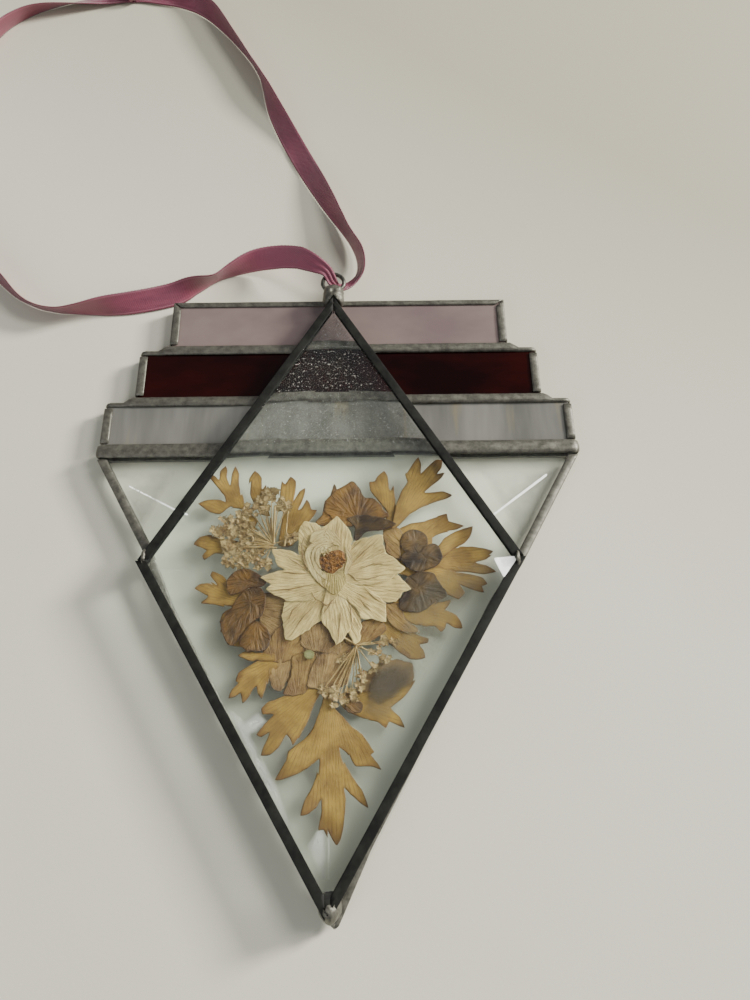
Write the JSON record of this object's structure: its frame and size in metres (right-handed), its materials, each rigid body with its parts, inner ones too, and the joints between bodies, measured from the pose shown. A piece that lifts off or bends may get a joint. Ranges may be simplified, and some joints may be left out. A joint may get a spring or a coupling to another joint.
{
  "type": "pressed flower glass hanging",
  "caption": "Flat hanging of bevelled clear glass over coloured glass bars, with pressed leaves and flowers sealed between the panes, soldered edges, a wire ring and a satin ribbon.",
  "frame": {"origin": "middle of the panel's outline, without its ribbon, at the height of its back", "axes": "the panel lies on its back: +X to its right, +Y from its point up to its ring, +Z out of its front"},
  "size_m": [0.2033, 0.3322, 0.0125],
  "materials": {
    "clear_glass": "clear bevelled plate glass, polished",
    "pink_opal_glass": "pale pink opal sheet glass, smooth",
    "ruby_glass": "deep ruby sheet glass, smooth",
    "wispy_glass": "clear glass with white wisps, gently rippled",
    "solder": "grey tin solder over foil, dull and uneven",
    "dark_edging": "blackened foil and solder, matt",
    "ring_wire": "tinned wire, dull grey",
    "ribbon_satin": "mauve pink satin ribbon",
    "dried_leaf": "dried leaf, golden ochre",
    "white_petal": "dried petal, cream",
    "flower_heart": "dried stamens, orange brown",
    "brown_petal": "dried petal, brown and crumpled",
    "umbel": "dried florets on thin stalks, beige"
  },
  "bodies": {
    "root": {"back_triangle_glass": "clear_glass", "front_diamond_glass": "clear_glass", "pink_opal_bar": "pink_opal_glass", "ruby_glass_bar": "ruby_glass", "wispy_white_bar": "wispy_glass", "bead_pink_to_ruby": "solder", "bead_ruby_to_white": "solder", "bead_white_to_triangle": "solder", "pink_edging_left": "solder", "pink_edging_right": "solder", "pink_edging_top": "solder", "ruby_edging_left": "solder", "ruby_edging_right": "solder", "white_edging_left": "solder", "white_edging_right": "solder", "triangle_edging_left": "solder", "triangle_edging_right": "solder", "solder_joint_left": "solder", "solder_joint_right": "solder", "solder_joint_bottom": "solder", "solder_neck": "solder", "diamond_edging_lower_left": "dark_edging", "diamond_edging_lower_right": "dark_edging", "diamond_edging_upper_left": "dark_edging", "diamond_edging_upper_right": "dark_edging", "hanging_ring": "ring_wire", "ribbon": "ribbon_satin", "ribbon_knot": "ribbon_satin", "leaf_upper_left": "dried_leaf", "leaf_upper_mid_left": "dried_leaf", "leaf_upper_mid": "dried_leaf", "leaf_left_high": "dried_leaf", "leaf_left_low": "dried_leaf", "leaf_upper_mid_right": "dried_leaf", "leaf_upper_right": "dried_leaf", "leaf_right": "dried_leaf", "leaf_lower_right": "dried_leaf", "leaf_lower_left": "dried_leaf", "leaf_bottom_left": "dried_leaf", "leaf_bottom": "dried_leaf", "white_petal_01": "white_petal", "white_petal_02": "white_petal", "white_petal_03": "white_petal", "white_petal_04": "white_petal", "white_petal_05": "white_petal", "white_petal_06": "white_petal", "white_petal_07": "white_petal", "white_petal_08": "white_petal", "white_petal_09": "white_petal", "white_petal_10": "white_petal", "white_petal_11": "white_petal", "flower_heart": "flower_heart", "brown_petal_top": "brown_petal", "brown_petal_right": "brown_petal", "brown_petal_lower_right": "brown_petal", "brown_petal_left": "brown_petal", "brown_petal_lower_left": "brown_petal", "umbel_left": "umbel", "umbel_bottom": "umbel"}
  },
  "joints": []
}
